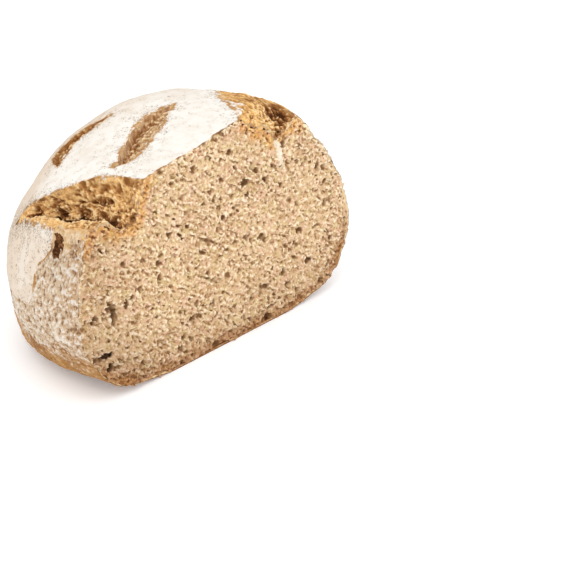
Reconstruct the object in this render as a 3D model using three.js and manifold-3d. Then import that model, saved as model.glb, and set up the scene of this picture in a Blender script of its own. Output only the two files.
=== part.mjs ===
// Country boule with one cut face: half a round loaf, in millimetres, +Z up.
// The cut face looks along -Y, X runs across it, and the loaf body lies behind it.
// Until the last step x is measured from the left end of the cut face and y from its plane.
import * as THREE from 'three';
import { ParametricGeometry } from 'three/addons/geometries/ParametricGeometry.js';
import { mergeVertices } from 'three/addons/utils/BufferGeometryUtils.js';
import Module from 'manifold-3d';

// ---- crust: the crown stands over AXIS_X, and each row below is the section in one direction
const AXIS_X = 115;
const CROWN_Z = 125;
const KNOT_Z = [0, 7, 23, 43, 65, 86, 101];
const KNOT_STEP = 45;
// out from the axis at each KNOT_Z, then the heights at 0.6 and at 0.3 of the reach
const SECTIONS = [
  { reach: 85, out: [38, 72.5, 87, 90, 84.3, 71.8, 58.5], high: [108, 122.5] },
  { reach: 98, out: [50, 82, 95, 99, 97, 90, 82], high: [118, 125.5] },
  { reach: 118, out: [59, 98, 110, 115.5, 114.5, 105, 97.5], high: [120.5, 124.8] },
  { reach: 119, out: [66, 110.5, 118.5, 121, 118.8, 109, 95.8], high: [114.5, 121] },
  { reach: 115, out: [50, 87.5, 104, 114.7, 113.4, 110.2, 104], high: [114.3, 119.6] },
  { reach: 106, out: [42, 76, 98, 110, 106.5, 103, 96.7], high: [113, 119] },
  { reach: 98, out: [42, 72, 92, 98, 96, 88, 78], high: [111, 121] },
  { reach: 88, out: [41, 69, 83, 86, 82, 72, 60], high: [106, 122] },
];
const CRUST_COLUMNS = 80;
const CRUST_ROWS = 31;
const CRUST_SWELL = 0.7;
const CRUST_SWELL_SIZE = 17;
// raised crust beside the right burst: x, y, spread in x and in y, rise
const MOUNDS = [[166, 20, 15, 17, 6.5], [163, 2, 9, 9, 3]];

// ---- gashes: a lower and an upper lip, and the depth from one to the other
// lip points without a height lie on the crust
// between the two shares of its length in hug, the floor goes over from the straight line
// between the lips to the curve of the crust
const LEFT_BURST = {
  lower: [[10, -14, 101], [9.4, 0, 100.1], [8.7, 12, 97.7], [10.2, 27, 93.5], [13.6, 40, 89.5], [21, 60, 83], [27, 74, 74]],
  upper: [[48, -14, 115], [46.8, 0, 114.6], [44, 14, 113.6], [37, 30, 109.7], [29, 42, 103.5], [26.6, 54, 96], [28, 67, 86]],
  depth: [[0, 0], [0.14, 2.2], [0.3, 8.6], [0.52, 14.6], [0.74, 12.6], [0.9, 6.5], [1, 0]],
  outward: [[-0.36, 0, 0.93], [-0.72, 0.3, 0.62]],
  rows: 34,
  columns: 20,
  crag: 3.4,
  cragSize: 7.5,
  fade: 0.62,
};
const RIGHT_BURST = {
  lower: [[159, -14], [162, 0], [171, 14], [178, 28], [182, 43], [176, 60]],
  upper: [[110, -14], [118.6, 0], [124.3, 8.1], [129.1, 19], [133.7, 30.5], [143.8, 40.9], [156, 56]],
  depth: [[0, 0], [0.14, 4.5], [0.32, 11.5], [0.46, 8.2], [0.6, 4.8], [0.85, 2.2], [1, 0]],
  outward: [[0.24, 0, 0.97], [0.4, 0.4, 0.82]],
  rows: 28,
  columns: 18,
  crag: 2.6,
  cragSize: 8,
  fade: 0.16,
  fall: 5,
  hug: [0.18, 0.36],
};
const FRONT_SLASH = {
  lower: [[48.1, 22.6], [56, 18.7], [68.7, 21.9], [80, 25.4], [98.5, 35], [113, 42.4]],
  upper: [[48.1, 22.6], [55.6, 26], [64.1, 31.7], [80.4, 41.8], [92, 46], [105, 45.6], [113, 42.4]],
  depth: [[0, 0], [0.25, 1.6], [0.55, 2.9], [0.85, 4.2], [1, 0]],
  outward: [[-0.2, 0.1, 0.97], [0, 0.15, 0.99]],
  rows: 22,
  columns: 9,
  crag: 1.4,
  cragSize: 5,
  fade: 0.75,
};
const REAR_SLASH = {
  lower: [[48, 63.5], [60.9, 70.5], [69.3, 72], [78, 71.5], [89, 69.3]],
  upper: [[48, 63.5], [56, 76], [66, 82], [78, 80.5], [89, 69.3]],
  depth: [[0, 0], [0.25, 2], [0.55, 3.2], [0.85, 3.6], [1, 0]],
  outward: [[-0.35, 0.45, 0.82], [-0.15, 0.45, 0.88]],
  rows: 18,
  columns: 7,
  crag: 1.1,
  cragSize: 5,
  fade: 0.75,
};
const SKIN_TEAR = {
  lower: [[4.6, 15, 83], [6.3, 13.5, 89], [7.6, 15, 95]],
  upper: [[5, 23.5, 83], [7.6, 25, 88.5], [9.2, 24, 94]],
  depth: [[0, 0], [0.5, 1.8], [0.9, 1.9], [1, 0]],
  outward: [[-0.97, 0.05, 0.2], [-0.93, 0.05, 0.35]],
  rows: 6,
  columns: 5,
  crag: 0.5,
  cragSize: 3,
  fade: 0.7,
};
const GASH_LID = 11;
const GASH_OVERRUN = 0.12;
const LIP_RAGGED = 0.035;

// ---- crumb: the larger holes one by one, then a scatter of small pores
// x, z, half width, half height, tilt in degrees, depth
const HOLES = [
  [18.1, 27.6, 5.5, 1.7, -8, 4], [20.4, 19.7, 2.6, 1.9, 0, 4.5], [38.8, 19.1, 2.4, 1.6, 0, 2.6],
  [30.6, 12.6, 4.4, 0.9, -21, 2], [24.8, 48.2, 2.6, 5.8, 0, 3.2], [33.3, 51.1, 1.7, 3.4, -8, 3.2],
  [18, 49.8, 1.3, 2, 0, 2], [38.3, 53.7, 1.9, 1.6, 0, 2.4], [4.7, 51.7, 1.2, 1.6, 0, 1.5],
  [178.7, 43.9, 4.4, 1.2, -12, 2.4], [172.1, 25.4, 2.6, 2, 0, 2.4], [154.7, 17.2, 2.4, 1.6, 20, 2.2],
  [140.7, 9, 3, 1.5, 12, 2], [134.7, 52.8, 3, 1.9, -20, 2.8], [94.9, 42.1, 8.6, 1.2, -34, 2],
  [92.5, 65.6, 8, 1.2, -31, 2.2], [87.9, 60.9, 3.6, 1.3, -33, 2], [80.8, 25.1, 3.2, 1.7, 20, 2.3],
  [121.9, 88.6, 3.5, 2.3, -18, 2.6], [137.4, 85.2, 2, 2.3, 0, 2.4], [185.2, 68.8, 2, 1.7, 0, 2],
  [178.4, 80.5, 1.8, 3.4, -8, 2.2],
];
const PORES = 84;
const PORE_SIZE = [0.95, 1.9];
const PORE_DEPTH = 1.3;
const PORE_MARGIN = 3.2;
const PORE_SPACING = 7;
const CRUST_COLOUR = 0xc9a070;

const clamp01 = (value) => Math.min(1, Math.max(0, value));
const radians = (degrees) => (degrees * Math.PI) / 180;

// Repeatable stream of numbers from 0 to 1.
function makeRandom(seed) {
  let state = seed;
  return () => {
    state = (state * 1664525 + 1013904223) % 4294967296;
    return state / 4294967296;
  };
}

function latticeValue(ix, iy, iz) {
  const wave = Math.sin(ix * 127.1 + iy * 311.7 + iz * 74.7) * 43758.5453;
  return 2 * (wave - Math.floor(wave)) - 1;
}

// Smooth noise from -1 to 1 with features about one unit across.
function noise(x, y, z) {
  const cell = [Math.floor(x), Math.floor(y), Math.floor(z)];
  const ease = [x, y, z].map((value, axis) => {
    const part = value - cell[axis];
    return part * part * (3 - 2 * part);
  });
  let total = 0;
  for (let corner = 0; corner < 8; corner += 1) {
    const step = [corner & 1, (corner >> 1) & 1, (corner >> 2) & 1];
    let weight = 1;
    for (let axis = 0; axis < 3; axis += 1) {
      weight *= step[axis] ? ease[axis] : 1 - ease[axis];
    }
    total += weight * latticeValue(cell[0] + step[0], cell[1] + step[1], cell[2] + step[2]);
  }
  return total;
}

// Two octaves, sharpened into ledges and hollows like torn crumb.
function cragNoise(point, size) {
  const coarse = noise(point.x / size, point.y / (1.7 * size), point.z / size);
  const fine = noise(point.x / (0.42 * size) + 9, point.y / (0.6 * size), point.z / (0.42 * size));
  return 0.65 * coarse + 0.5 * (0.5 - Math.abs(fine)) * 2 - 0.2;
}

// Catmull-Rom value at t between b and c.
function spline(a, b, c, d, t) {
  const square = t * t;
  const linear = 2 * b + (c - a) * t;
  return 0.5 * (linear + (2 * a - 5 * b + 4 * c - d) * square + (3 * b - a - 3 * c + d) * square * t);
}

// One number of the crust section, smoothly between the listed directions.
function sectionValue(read, degrees) {
  const count = SECTIONS.length;
  const turn = ((degrees / KNOT_STEP) % count + count) % count;
  const first = Math.floor(turn);
  const at = (offset) => read(SECTIONS[(first + offset + count) % count]);
  return spline(at(-1), at(0), at(1), at(2), turn - first);
}

// Knots of the crust section: bottom edge, wall, shoulder, crown.
function sectionKnots(degrees) {
  const knots = KNOT_Z.map((z, index) => [sectionValue((section) => section.out[index], degrees), z]);
  const reach = sectionValue((section) => section.reach, degrees);
  knots.push([0.6 * reach, sectionValue((section) => section.high[0], degrees)]);
  knots.push([0.3 * reach, sectionValue((section) => section.high[1], degrees)]);
  knots.push([0, CROWN_Z]);
  return knots;
}

// Point of the crust at a direction and a place from 0 (bottom edge) to 1 (crown).
function crustPoint(degrees, place, target) {
  const knots = sectionKnots(degrees);
  const last = knots.length - 1;
  const first = Math.min(Math.floor(place * last), last - 1);
  const t = place * last - first;
  const mirrored = [-knots[last - 1][0], knots[last - 1][1]];
  const before = first === 0 ? [2 * knots[0][0] - knots[1][0], 0] : knots[first - 1];
  const after = first === last - 1 ? mirrored : knots[first + 2];
  const out = spline(before[0], knots[first][0], knots[first + 1][0], after[0], t);
  const z = spline(before[1], knots[first][1], knots[first + 1][1], after[1], t);
  const angle = radians(degrees);
  target.set(AXIS_X + out * Math.cos(angle), out * Math.sin(angle), z);
  const size = CRUST_SWELL_SIZE;
  const calm = clamp01(place * 6) * clamp01((1 - place) * 9);
  const swell = CRUST_SWELL * calm * noise(target.x / size, target.y / size, target.z / size);
  target.x += swell * Math.cos(angle);
  target.y += swell * Math.sin(angle);
  target.z += swell * clamp01(place * 1.6 - 0.5);
  for (const [x, y, spreadX, spreadY, rise] of MOUNDS) {
    const away = ((target.x - x) / spreadX) ** 2 + ((target.y - y) / spreadY) ** 2;
    target.z += rise * Math.exp(-away) * clamp01(place * 1.6 - 0.5);
  }
}

// Half the columns would fall in front of the cut, so most of them are moved behind it.
function columnDegrees(share) {
  return 90 + 360 * (share - 0.5) - 34 * Math.sin(2 * Math.PI * (share - 0.5));
}

// Whole crust with a flat bottom: the lowest row runs in to the axis at z = 0.
function crustGeometry() {
  const bottomShare = 1 / CRUST_ROWS;
  return new ParametricGeometry((u, v, target) => {
    const degrees = columnDegrees(u % 1);
    crustPoint(degrees, clamp01((v - bottomShare) / (1 - bottomShare)), target);
    if (v < bottomShare * 0.5) target.set(AXIS_X, 0, 0);
  }, CRUST_COLUMNS, CRUST_ROWS);
}

// Height of the crust over a plan point near the crown.
function crownHeight(x, y) {
  const degrees = (Math.atan2(y, x - AXIS_X) * 180) / Math.PI;
  const point = new THREE.Vector3();
  for (let place = 1; place > 0.5; place -= 0.004) {
    crustPoint(degrees, place, point);
    if (Math.hypot(point.x - AXIS_X, point.y) >= Math.hypot(x - AXIS_X, y)) return point.z;
  }
  return CROWN_Z;
}

function depthAcross(stations, share) {
  if (share <= 0 || share >= 1) return -26 * Math.max(-share, share - 1);
  const index = stations.findIndex((station) => station[0] >= share);
  const [from, to] = [stations[index - 1], stations[index]];
  return from[1] + ((to[1] - from[1]) * (share - from[0])) / (to[0] - from[0]);
}

// Closed cutter for a burst or a slash: a craggy floor under a plain lid, pointed at both ends.
function gashGeometry(gash) {
  const onCrust = ([x, y, z]) => new THREE.Vector3(x, y, z ?? crownHeight(x, y));
  const toCurve = (points) => new THREE.CatmullRomCurve3(points.map(onCrust));
  const lowerLip = toCurve(gash.lower);
  const upperLip = toCurve(gash.upper);
  const start = new THREE.Vector3(...gash.outward[0]);
  const end = new THREE.Vector3(...gash.outward[1]);
  const floorShare = 0.8;
  return new ParametricGeometry((u, v, target) => {
    const along = clamp01((v - 0.02) / 0.96);
    const lower = lowerLip.getPoint(along);
    const upper = upperLip.getPoint(along);
    const outward = start.clone().lerp(end, along).normalize();
    const onFloor = u % 1 <= floorShare;
    const travel = onFloor ? (u % 1) / floorShare : (1 - u) / (1 - floorShare);
    const atPole = v < 1e-6 || v > 1 - 1e-6;
    const share = atPole ? 0.5 : -GASH_OVERRUN + (1 + 2 * GASH_OVERRUN) * travel;
    target.copy(lower).lerp(upper, share);
    if (atPole) return;
    if (gash.hug) {
      const hug = clamp01((along - gash.hug[0]) / (gash.hug[1] - gash.hug[0]));
      target.z += hug * Math.max(0, crownHeight(target.x, target.y) - target.z);
    }
    if (!onFloor) {
      target.addScaledVector(outward, GASH_LID);
      return;
    }
    const shape = 1 - Math.pow(Math.abs(2 * along - 1), 6);
    const fallen = Math.max(0, (along - gash.fade) / (1 - gash.fade)) * (gash.fall ?? 1.35);
    const fade = Math.cos(Math.min(fallen, 1.45)) * (along > 0.9 ? (1 - along) * 10 : 1);
    const ragged = LIP_RAGGED * noise(target.x / 4 + 31, target.y / 4, target.z / 4);
    const depth = depthAcross(gash.depth, share + ragged) * (share > 0 && share < 1 ? fade * shape : 1);
    const rough = Math.sin(Math.PI * clamp01(share)) * gash.crag * cragNoise(target, gash.cragSize);
    target.addScaledVector(outward, -depth + rough * fade);
  }, Math.round(gash.columns / floorShare), gash.rows);
}

// Rough pit in the cut face, its middle a little behind the face.
function pitGeometry([x, z, halfWidth, halfHeight, tilt, depth], detail, seed) {
  const geometry = new THREE.IcosahedronGeometry(1, detail);
  const place = geometry.attributes.position;
  const point = new THREE.Vector3();
  for (let index = 0; index < place.count; index += 1) {
    point.fromBufferAttribute(place, index);
    const swell = 1 + 0.22 * noise(point.x * 1.6 + seed, point.y * 1.6, point.z * 1.6);
    place.setXYZ(index, point.x * swell, point.y * swell, point.z * swell);
  }
  geometry.scale(halfWidth, depth, halfHeight);
  geometry.rotateY(-radians(tilt));
  geometry.translate(x, 0.1 * depth, z);
  return geometry;
}

// Top of the cut face at x, from the sections to the right and to the left.
function faceTop(x) {
  const degrees = x > AXIS_X ? 0 : 180;
  const point = new THREE.Vector3();
  for (let place = 0.4; place <= 1; place += 0.01) {
    crustPoint(degrees, place, point);
    if (Math.abs(point.x - AXIS_X) <= Math.abs(x - AXIS_X)) return point.z;
  }
  return CROWN_Z;
}

function insideFace(x, z) {
  if (z > faceTop(x) - PORE_MARGIN || z < PORE_MARGIN) return false;
  const inLeftBurst = x > 4 && x < 52 && z > 88;
  const inRightBurst = x > 116 && x < 170 && z > 100;
  const left = 1.5 + Math.max(0, 45 - z) ** 2 / 45;
  const right = 204 - Math.max(0, 40 - z) ** 2 / 60;
  return !inLeftBurst && !inRightBurst && x > left + PORE_MARGIN && x < right - PORE_MARGIN;
}

function scatterPores() {
  const random = makeRandom(29);
  const taken = HOLES.map(([x, z, halfWidth]) => [x, z, halfWidth]);
  const pores = [];
  for (let attempt = 0; attempt < 6000 && pores.length < PORES; attempt += 1) {
    const x = 205 * random();
    const z = CROWN_Z * random();
    const size = PORE_SIZE[0] + (PORE_SIZE[1] - PORE_SIZE[0]) * random() ** 2;
    const clear = taken.every(([tx, tz, reach]) => Math.hypot(x - tx, z - tz) > PORE_SPACING * 0.7 + reach + size);
    if (clear && insideFace(x, z)) {
      taken.push([x, z, size]);
      pores.push([x, z, size * (1 + 0.5 * random()), size * 0.85, 180 * random(), PORE_DEPTH]);
    }
  }
  return pores;
}

const wasm = await Module();
wasm.setup();

// Position-only solid, with the collapsed triangles at the poles left out.
function toSolid(geometry) {
  const bare = new THREE.BufferGeometry();
  bare.setAttribute('position', geometry.attributes.position.clone());
  if (geometry.index) bare.setIndex(geometry.index.clone());
  const merged = mergeVertices(bare, 1e-4);
  const kept = [];
  for (let index = 0; index < merged.index.count; index += 3) {
    const [a, b, c] = [0, 1, 2].map((step) => merged.index.getX(index + step));
    if (a !== b && b !== c && c !== a) kept.push(a, b, c);
  }
  const solid = new wasm.Manifold(new wasm.Mesh({
    numProp: 3,
    vertProperties: new Float32Array(merged.attributes.position.array),
    triVerts: new Uint32Array(kept),
  }));
  return solid;
}

function flipped(geometry) {
  const order = geometry.index.array;
  for (let index = 0; index < order.length; index += 3) {
    [order[index], order[index + 1]] = [order[index + 1], order[index]];
  }
  return geometry;
}

// Turns the triangles round if the solid came out inside out.
function outwardSolid(geometry) {
  const solid = toSolid(geometry);
  return solid.volume() > 0 ? solid : toSolid(flipped(geometry));
}

const knife = new THREE.BoxGeometry(400, 200, 400);
knife.translate(100, -100, 60);
let loaf = outwardSolid(crustGeometry()).subtract(toSolid(knife));
for (const gash of [LEFT_BURST, RIGHT_BURST, FRONT_SLASH, REAR_SLASH, SKIN_TEAR]) {
  loaf = loaf.subtract(outwardSolid(gashGeometry(gash)));
}
HOLES.forEach((hole, index) => {
  loaf = loaf.subtract(toSolid(pitGeometry(hole, 1, 3.1 * index)));
});
scatterPores().forEach((pore, index) => {
  loaf = loaf.subtract(toSolid(pitGeometry(pore, 0, 2.3 * index)));
});

const mesh = loaf.getMesh();
const geometry = new THREE.BufferGeometry();
geometry.setAttribute('position', new THREE.BufferAttribute(new Float32Array(mesh.vertProperties), 3));
geometry.setIndex(new THREE.BufferAttribute(new Uint32Array(mesh.triVerts), 1));
geometry.computeBoundingBox();
const middle = geometry.boundingBox.getCenter(new THREE.Vector3());
geometry.translate(-middle.x, -middle.y, -geometry.boundingBox.min.z);
geometry.computeVertexNormals();

const boule = new THREE.Mesh(geometry, new THREE.MeshStandardMaterial({ color: CRUST_COLOUR, roughness: 0.85 }));
boule.name = 'boule';
const group = new THREE.Group();
group.add(boule);
export default group;
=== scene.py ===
"""Country boule: half a round floured loaf with one cut face.

A piece is shaped in millimetres, with x across the cut face from its left end,
y behind the plane of the cut and z up, and is turned into metres as a mesh.
"""
import logging
from dataclasses import dataclass, field, replace
from enum import Enum

import bmesh
import bpy
import numpy as np
from bpy.types import ID, Material, Mesh, Node, NodeSocket, NodeTree, Object
from mathutils import Matrix, Vector
from mathutils.bvhtree import BVHTree
from mathutils.kdtree import KDTree


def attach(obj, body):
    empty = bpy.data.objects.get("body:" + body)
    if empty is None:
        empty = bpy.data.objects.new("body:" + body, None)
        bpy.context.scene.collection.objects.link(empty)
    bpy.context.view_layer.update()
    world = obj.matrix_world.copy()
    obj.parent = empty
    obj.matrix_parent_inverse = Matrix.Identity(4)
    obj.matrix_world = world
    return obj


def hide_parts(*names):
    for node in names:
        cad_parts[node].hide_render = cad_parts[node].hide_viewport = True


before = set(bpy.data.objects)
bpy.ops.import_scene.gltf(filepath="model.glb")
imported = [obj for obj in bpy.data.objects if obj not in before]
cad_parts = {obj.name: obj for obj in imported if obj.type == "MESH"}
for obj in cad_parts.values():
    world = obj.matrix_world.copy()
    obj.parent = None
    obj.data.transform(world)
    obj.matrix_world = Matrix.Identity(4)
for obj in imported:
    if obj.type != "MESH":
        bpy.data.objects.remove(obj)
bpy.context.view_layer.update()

logging.basicConfig(level=logging.INFO, format="%(message)s")
LOG = logging.getLogger("boule")

Array = np.ndarray
Number = float | Array
Row = tuple[float, ...]
Place = tuple[float, float, float]
Colour = tuple[float, float, float, float]

MIDDLE = np.array([102.9582, 58.4011, 0.0])
MM = 0.001
OCTAVE_TURN = np.array([[0.36, 0.48, -0.8], [-0.8, 0.6, 0.0], [0.48, 0.64, 0.6]])
STRAND_TILT = np.radians(-33.0)
TORN_DEPTH = 0.02
FAR_AWAY = 1e9
HOLLOW_ROUNDS = 4


class Torn(Enum):
    """Where the skin of the loaf is broken, with the name of the cutter for it."""

    LEFT_BURST = "left burst"
    RIGHT_BURST = "right burst"
    FRONT_SLASH = "front slash"
    REAR_SLASH = "rear slash"
    SKIN_TEAR = "skin tear"


def tone(red: int, green: int, blue: int) -> Colour:
    """Linear colour of a tone given as seen, from 0 to 255."""
    seen = np.array([red, green, blue]) / 255.0
    linear = np.where(seen <= 0.04045, seen / 12.92, ((seen + 0.055) / 1.055) ** 2.4)
    return (float(linear[0]), float(linear[1]), float(linear[2]), 1.0)


def clamp01(value: Number) -> Number:
    """The value held between 0 and 1."""
    return np.clip(value, 0.0, 1.0)


def ease(value: Number, start: Number, end: Number) -> Number:
    """Smooth step from 0 at start to 1 at end, whichever of the two is larger."""
    part = clamp01((value - start) / (end - start))
    return part * part * (3.0 - 2.0 * part)


def unit(vectors: Array) -> Array:
    """The vectors at length one."""
    return vectors / np.maximum(np.linalg.norm(vectors, axis=-1, keepdims=True), 1e-9)


def dot(first: Array, second: Array) -> Array:
    """Product of each row with the other's."""
    return np.einsum("ij,ij->i", first, second)


def lattice_value(cell: Array) -> Array:
    """Repeatable value from -1 to 1 for each whole-number cell."""
    wave = np.sin(cell @ np.array([127.1, 311.7, 74.7])) * 43758.5453
    return 2.0 * (wave - np.floor(wave)) - 1.0


def noise(points: Array) -> Array:
    """Smooth noise from -1 to 1 with features about one unit across.

    Args:
        points: places, one row of three numbers each.

    Returns:
        One number for each place.
    """
    cell = np.floor(points)
    part = points - cell
    eased = part * part * (3.0 - 2.0 * part)
    total = np.zeros(points.shape[:-1])
    for corner in range(8):
        step = np.array([corner & 1, (corner >> 1) & 1, (corner >> 2) & 1], dtype=float)
        weight = np.prod(np.where(step > 0, eased, 1.0 - eased), axis=-1)
        total += weight * lattice_value(cell + step)
    return total


def fractal(points: Array, octaves: int = 4, gain: float = 0.55) -> Array:
    """Noise of several sizes, each half as large as the one before.

    Args:
        points: places, one row each, with the largest features one unit across.
        octaves: how many sizes.
        gain: strength of each size against the one before.

    Returns:
        One number for each place, about -1 to 1.
    """
    total, strength = np.zeros(points.shape[:-1]), 1.0
    for step in range(octaves):
        total = total + strength * noise(points + 13.7 * step)
        points, strength = (points @ OCTAVE_TURN.T) * 2.0, strength * gain
    return total


def crag_noise(points: Array, size: float) -> Array:
    """Coarse ledges and hollows like torn crumb, of the given size in millimetres."""
    coarse = noise(points / np.array([size, 1.7 * size, size]))
    fine = noise(points / np.array([0.42 * size, 0.6 * size, 0.42 * size]) + np.array([9.0, 0.0, 0.0]))
    return 0.65 * coarse + (0.5 - np.abs(fine)) - 0.2


def spline(a: Number, b: Number, c: Number, d: Number, t: Number) -> Number:
    """Catmull-Rom value at t between b and c."""
    square = t * t
    linear = 2.0 * b + (c - a) * t
    return 0.5 * (linear + (2 * a - 5 * b + 4 * c - d) * square + (3 * b - a - 3 * c + d) * square * t)


class Curve:
    """Smooth curve through points, centripetal so that it never loops."""

    def __init__(self, points: Array) -> None:
        """Keeps the points, with one more mirrored past each end."""
        first = 2 * points[0] - points[1]
        last = 2 * points[-1] - points[-2]
        self.points = np.vstack([first, points, last])

    def at(self, share: Array) -> Array:
        """Points at shares from 0 to 1 along the curve.

        Args:
            share: how far along, one number each.

        Returns:
            One row of three numbers for each share.
        """
        spans = len(self.points) - 3
        place = clamp01(share) * spans
        index = np.minimum(place.astype(int), spans - 1)
        t = (place - index)[:, None]
        p0, p1, p2, p3 = (self.points[index + step] for step in range(4))
        g0, g1, g2 = (
            np.sqrt(np.maximum(np.linalg.norm(b - a, axis=1, keepdims=True), 1e-6))
            for a, b in ((p0, p1), (p1, p2), (p2, p3))
        )
        m1 = ((p1 - p0) / g0 - (p2 - p0) / (g0 + g1) + (p2 - p1) / g1) * g1
        m2 = ((p2 - p1) / g1 - (p3 - p1) / (g1 + g2) + (p3 - p2) / g2) * g1
        square, cube = t * t, t * t * t
        near = (2 * cube - 3 * square + 1) * p1 + (cube - 2 * square + t) * m1
        return near + (3 * square - 2 * cube) * p2 + (cube - square) * m2


def link(name: str, data: ID) -> Object:
    """New object at the origin, in the scene."""
    thing = bpy.data.objects.new(name, data)
    bpy.context.scene.collection.objects.link(thing)
    return thing


def new_mesh(name: str, places: list, faces: list) -> Mesh:
    """Mesh from the places of its vertices and the corner numbers of its faces."""
    mesh = bpy.data.meshes.new(name)
    mesh.from_pydata(places, [], faces)
    return mesh


def make_object(name: str, points: Array, faces: list) -> Object:
    """Mesh object at the origin from points in millimetres.

    Args:
        name: name of the object and its mesh.
        points: one row of three numbers each.
        faces: corner numbers of each face.

    Returns:
        The new object, linked to the scene.
    """
    mesh = new_mesh(name, ((points - MIDDLE) * MM).tolist(), faces)
    mesh.validate()
    mesh.update()
    return link(name, mesh)


def tube(rings: int, around: int) -> tuple[Array, Array, list[list[int]]]:
    """Corner numbers of closed rings, the same turned by one place, and the faces between them."""
    grid = np.arange(rings * around).reshape(rings, around)
    turned = np.roll(grid, -1, axis=1)
    quads = np.stack([grid[:-1], turned[:-1], turned[1:], grid[1:]], axis=-1)
    return grid, turned, quads.reshape(-1, 4).tolist()


def column(items: object, name: str, width: int, kind: type = float) -> Array:
    """One value of every item of a mesh, as rows of the given width."""
    flat = np.empty(len(items) * width, dtype=kind)
    items.foreach_get(name, flat)
    return flat.reshape(-1, width)


def mesh_points(mesh: Mesh) -> Array:
    """Vertex places of a mesh in millimetres of the loaf."""
    return column(mesh.vertices, "co", 3) / MM + MIDDLE


def face_outwards(thing: Object) -> None:
    """Turns every face round where the closed mesh is inside out."""
    mesh = thing.data
    mesh.calc_loop_triangles()
    corners = column(mesh.loop_triangles, "vertices", 3, np.int32)
    a, b, c = (mesh_points(mesh)[corners[:, k]] for k in range(3))
    if dot(a, np.cross(b, c)).sum() < 0:
        mesh.flip_normals()


def put_attribute(mesh: Mesh, name: str, values: Array) -> None:
    """Stores one number for each vertex under a name that a finish reads."""
    if name in mesh.attributes:
        mesh.attributes.remove(mesh.attributes[name])
    layer = mesh.attributes.new(name, "FLOAT", "POINT")
    layer.data.foreach_set("value", np.ascontiguousarray(values, dtype=np.float32))


def get_attribute(mesh: Mesh, name: str) -> Array:
    """One stored number for each vertex."""
    return column(mesh.attributes[name].data, "value", 1, np.float32)[:, 0].astype(float)


def hollowness(mesh: Mesh) -> Array:
    """How far each vertex lies below its surroundings.

    Args:
        mesh: a fine mesh in metres.

    Returns:
        Millimetres for each vertex, above 0 in hollows and below 0 on crests.
    """
    points = mesh_points(mesh)
    size = len(points)
    a, b = column(mesh.edges, "vertices", 2, np.int32).T
    count = np.bincount(np.concatenate([a, b]), minlength=size)[:, None]
    smooth = points
    for _ in range(HOLLOW_ROUNDS):
        sums = [np.bincount(a, smooth[b, k], size) + np.bincount(b, smooth[a, k], size) for k in range(3)]
        smooth = 0.5 * smooth + 0.5 * np.stack(sums, axis=1) / np.maximum(count, 1)
    normals = column(mesh.vertex_normals, "vector", 3, np.float32)
    return dot(smooth - points, normals.astype(float))


def keep_largest(mesh: Mesh) -> None:
    """Removes every loose part of a mesh but the one with most vertices."""
    a, b = column(mesh.edges, "vertices", 2, np.int32).T
    label = np.arange(len(mesh.vertices))
    settled = False
    while not settled:
        low = np.minimum(label[a], label[b])
        new = label.copy()
        np.minimum.at(new, a, low)
        np.minimum.at(new, b, low)
        new = new[new]
        settled = np.array_equal(new, label)
        label = new
    loose = np.nonzero(label != np.bincount(label).argmax())[0]
    work = bmesh.new()
    work.from_mesh(mesh)
    work.verts.ensure_lookup_table()
    bmesh.ops.delete(work, geom=[work.verts[int(k)] for k in loose], context="VERTS")
    work.to_mesh(mesh)
    work.free()


def drop(thing: Object) -> None:
    """Takes a helper object and its mesh out of the file."""
    mesh = thing.data
    bpy.data.objects.remove(thing)
    bpy.data.meshes.remove(mesh)


def plain_mesh(thing: Object) -> None:
    """Turns an object's modified shape into a plain mesh and removes the modifiers."""
    graph = bpy.context.evaluated_depsgraph_get()
    result = bpy.data.meshes.new_from_object(thing.evaluated_get(graph))
    result.name = thing.name
    thing.modifiers.clear()
    old = thing.data
    thing.data = result
    bpy.data.meshes.remove(old)


def carve(body: Object, cutters: list[Object]) -> None:
    """Cuts each closed cutter out of the body, one after the other."""
    for cutter in cutters:
        change = body.modifiers.new(cutter.name, "BOOLEAN")
        change.operation = "DIFFERENCE"
        change.solver = "MANIFOLD"
        change.object = cutter
    plain_mesh(body)


class Wire:
    """A node's output that takes part in sums."""

    def __init__(self, bench: "Bench", socket: NodeSocket) -> None:
        """Keeps the socket and the bench it was made on."""
        self.bench = bench
        self.socket = socket

    def __add__(self, other: "Wire | float") -> "Wire":
        """Sum."""
        return self.bench.math("ADD", self, other)

    def __sub__(self, other: "Wire | float") -> "Wire":
        """Difference."""
        return self.bench.math("SUBTRACT", self, other)

    def __rsub__(self, other: float) -> "Wire":
        """Difference the other way round."""
        return self.bench.math("SUBTRACT", other, self)

    def __mul__(self, other: "Wire | float") -> "Wire":
        """Product."""
        return self.bench.math("MULTIPLY", self, other)

    def least(self, other: "Wire | float") -> "Wire":
        """The lower of two numbers."""
        return self.bench.math("MINIMUM", self, other)

    def most(self, other: "Wire | float") -> "Wire":
        """The higher of two numbers."""
        return self.bench.math("MAXIMUM", self, other)

    def melt(self, other: "Wire", reach: float) -> "Wire":
        """The lower of two numbers, with a soft change from one to the other."""
        return self.bench.math("SMOOTH_MIN", self, other, reach)

    def step(self, low: float, high: float, start: float = 0.0, end: float = 1.0) -> "Wire":
        """Smooth step from start at low to end at high."""
        inputs = {"Value": self, "From Min": low, "From Max": high, "To Min": start, "To Max": end}
        return self.bench.wire("ShaderNodeMapRange", inputs, interpolation_type="SMOOTHSTEP")


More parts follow.
